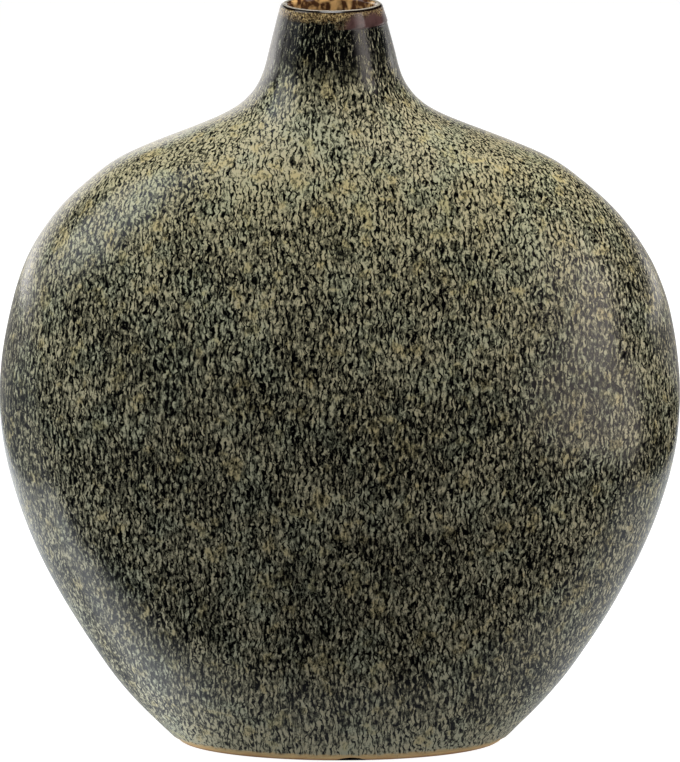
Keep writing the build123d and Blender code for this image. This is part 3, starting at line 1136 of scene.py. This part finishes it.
def outside_foot_shade(tree, spot):
    """Return 1 on the open floor and 0 under the foot, where the floor is painted black as shade."""
    across = calc(tree, "DIVIDE", spot["X"], foot_width)
    along = calc(tree, "DIVIDE", spot["Y"], foot_depth)
    out = calc(tree, "SQRT", calc(tree, "MULTIPLY_ADD", across, across, calc(tree, "MULTIPLY", along, along)))
    return ramp_between(tree, out, *foot_shade_edge)


def make_floor():
    material, tree, path, spot = new_stage_finish("studio_floor")
    sheet = sheet_brightness(tree, spot)
    outside_shade = outside_foot_shade(tree, spot)
    # Under the foot the floor is painted black as shade, in its matte colour and in the white the camera
    # sees.
    matte_colour = blend(tree, outside_shade, black, floor_grey)
    matte = put(tree, "ShaderNodeBsdfDiffuse", {"Color": matte_colour}).outputs[0]
    plain = emission(tree, white, calc(tree, "MULTIPLY", outside_shade, shown_level))
    glow = emission(tree, glow_colour, calc(tree, "MULTIPLY_ADD", sheet, glow_gain, least_glow))
    table = emission(tree, table_colour, side_table(tree, spot))
    mirrored = add_shaders(tree, emission(tree, sheet_colour, sheet), table)
    bounced = add_shaders(tree, matte, glow)
    shown = add_shaders(tree, matte, plain)
    surface = mix_shaders(tree, path["Is Camera Ray"], bounced, shown)
    surface = mix_shaders(tree, path["Is Glossy Ray"], surface, mirrored)
    put(tree, "ShaderNodeOutputMaterial", {"Surface": surface})
    return material


bpy.ops.mesh.primitive_plane_add(size=floor_size, location=(0, 0, 0))
floor = bpy.context.object
floor.name = "studio_floor"
floor.data.materials.append(make_floor())
print("floor laid, metres across:", floor_size)

# %% Hang the backdrop
wall_distance = 0.6
wall_half_width = 3.0
wall_height = 2.0
wall_colour = (1.0, 0.97, 0.95, 1.0)
band_foot = 0.12
band_foot_slope = 0.1
band_foot_edge = (-0.04, 0.04)
band_top = (-0.6, 0.1, 0.62, 0.4)
band_top_edge = (-0.06, 0.06)
band_light = (-0.45, 0.2, 1.5, 0.6)
least_light = 0.45
strip_foot = (0.17, 0.25)
strip_top = (0.27, 0.42, 1.0, 0.0)
left_strip = (-0.35, -0.8, 0.0, 2.6)
right_strip = (0.5, 0.65, 0.0, 1.7)


def wall_brightness(tree, spot):
    """Return how bright the backdrop is: a band above the table's edge, with a lit strip at each side."""
    foot = calc(tree, "MULTIPLY_ADD", calc(tree, "ABSOLUTE", spot["X"]), band_foot_slope, band_foot)
    above_foot = ramp_between(tree, calc(tree, "SUBTRACT", spot["Z"], foot), *band_foot_edge)
    top = ramp_between(tree, spot["X"], *band_top)
    below_top = ramp_between(tree, calc(tree, "SUBTRACT", top, spot["Z"]), *band_top_edge)
    band = product(tree, above_foot, below_top, ramp_between(tree, spot["X"], *band_light))
    band = calc(tree, "MAXIMUM", band, calc(tree, "MULTIPLY", below_top, least_light))
    left = ramp_between(tree, spot["X"], *left_strip)
    right = ramp_between(tree, spot["X"], *right_strip)
    strip = calc(tree, "ADD", left, right)
    strip = product(tree, strip, ramp_between(tree, spot["Z"], *strip_foot))
    strip = product(tree, strip, ramp_between(tree, spot["Z"], *strip_top))
    return calc(tree, "ADD", band, strip)


def make_backdrop():
    material, tree, path, spot = new_stage_finish("studio_backdrop")
    lit = emission(tree, wall_colour, wall_brightness(tree, spot))
    clear = put(tree, "ShaderNodeBsdfTransparent").outputs[0]
    surface = mix_shaders(tree, path["Is Glossy Ray"], clear, lit)
    put(tree, "ShaderNodeOutputMaterial", {"Surface": surface})
    return material


wall_corners = [
    (-wall_half_width, wall_distance, 0.0),
    (wall_half_width, wall_distance, 0.0),
    (wall_half_width, wall_distance, wall_height),
    (-wall_half_width, wall_distance, wall_height),
]
wall_mesh = bpy.data.meshes.new("studio_backdrop")
wall_mesh.from_pydata(wall_corners, [], [(0, 1, 2, 3)])
wall_mesh.materials.append(make_backdrop())
backdrop = bpy.data.objects.new("studio_backdrop", wall_mesh)
scene.collection.objects.link(backdrop)
print("backdrop hung, metres behind the vase:", wall_distance)

# %% Fill the room with light
# The room is endlessly far away, so its ramps run over the X, Y and Z of a direction of length 1.
left_wall_side = (-0.5, -0.8)
left_wall_back = (-0.05, 0.2)
left_wall_low = (-0.05, 0.2, 0.5, 1.3)
left_wall_high = (0.36, 0.54, 1.0, 0.05)
left_screen_aim = Vector((-0.8, -0.08, 0.59)).normalized()
left_screen_spread = (0.88, 0.995, 0.0, 2.1)
left_screen_colour = (0.93, 0.97, 1.0, 1.0)
right_screen_edge = Vector((0.333, 0.862, -0.383)).normalized()
right_screen_fade = (-0.5, -0.15, 0.0, 2.7)
right_screen_cut = (-0.03, 0.01, 1.0, 0.0)
right_screen_top = (0.35, 0.55, 1.0, 0.0)
right_screen_side = (0.0, 0.2)
right_screen_colour = (1.0, 0.91, 0.86, 1.0)
ceiling_light = (0.96, 0.985, 0.0, 12.0)
fill_back = (-0.3, 0.6, 0.05, 0.18)
fill_side = (-0.6, 0.3, 1.6, 0.45)


def make_room():
    world = bpy.data.worlds.new("studio_room")
    world.use_nodes = True
    tree = world.node_tree
    tree.nodes.clear()
    path = put(tree, "ShaderNodeLightPath").outputs
    direction = put(tree, "ShaderNodeTexCoord").outputs["Generated"]
    spot = put(tree, "ShaderNodeSeparateXYZ", {0: direction}).outputs

    def towards(aim):
        inputs = {0: direction, 1: aim}
        return put(tree, "ShaderNodeVectorMath", inputs, operation="DOT_PRODUCT").outputs["Value"]

    def glow(colour, strength):
        return put(tree, "ShaderNodeBackground", {"Color": colour, "Strength": strength}).outputs[0]

    left_wall = product(
        tree,
        ramp_between(tree, spot["X"], *left_wall_side),
        ramp_between(tree, spot["Y"], *left_wall_back),
        ramp_between(tree, spot["Z"], *left_wall_low),
        ramp_between(tree, spot["Z"], *left_wall_high),
    )
    left_screen = ramp_between(tree, towards(left_screen_aim), *left_screen_spread)
    past_edge = towards(right_screen_edge)
    right_screen = product(
        tree,
        ramp_between(tree, past_edge, *right_screen_fade),
        ramp_between(tree, past_edge, *right_screen_cut),
        ramp_between(tree, spot["Z"], *right_screen_top),
        ramp_between(tree, spot["X"], *right_screen_side),
    )
    ceiling = ramp_between(tree, spot["Z"], *ceiling_light)
    mirrored = add_shaders(tree, glow(wall_colour, left_wall), glow(left_screen_colour, left_screen))
    mirrored = add_shaders(tree, mirrored, glow(right_screen_colour, right_screen))
    mirrored = add_shaders(tree, mirrored, glow(white, ceiling))
    fill = ramp_between(tree, spot["Y"], *fill_back)
    fill = product(tree, fill, ramp_between(tree, spot["X"], *fill_side))
    shown = mix_shaders(tree, path["Is Glossy Ray"], glow(white, fill), mirrored)
    shown = mix_shaders(tree, path["Is Camera Ray"], shown, glow(white, 1.0))
    put(tree, "ShaderNodeOutputWorld", {"Surface": shown})
    return world


scene.world = make_room()
scene.view_settings.view_transform = "Standard"
print("room nodes:", len(scene.world.node_tree.nodes))

# %% Hang the softboxes
warm_light = (1.0, 0.98, 0.94)
rosy_light = (1.0, 0.95, 0.91)
cool_light = (0.93, 0.97, 1.0)
vase_middle = Vector((0, 0, 0.17))


def add_softbox(name, place, size, power, colour):
    """Hang a softbox that faces the middle of the vase and doesn't show in reflections."""
    data = bpy.data.lights.new(name, "AREA")
    data.shape = "RECTANGLE"
    data.size, data.size_y = size
    data.energy = power
    data.color = colour
    lamp = bpy.data.objects.new(name, data)
    lamp.location = place
    lamp.rotation_euler = (vase_middle - Vector(place)).to_track_quat("-Z", "Y").to_euler()
    lamp.visible_glossy = False
    scene.collection.objects.link(lamp)


add_softbox("overhead_softbox", (0, -0.4, 1.55), (1.4, 1.0), 26.0, warm_light)
add_softbox("back_softbox", (0, 0.95, 1.3), (1.2, 0.6), 7.0, warm_light)
add_softbox("right_softbox", (1.5, -0.2, 0.8), (0.6, 0.9), 22.0, rosy_light)
add_softbox("left_softbox", (-1.5, -0.2, 1.0), (0.8, 0.8), 20.0, cool_light)
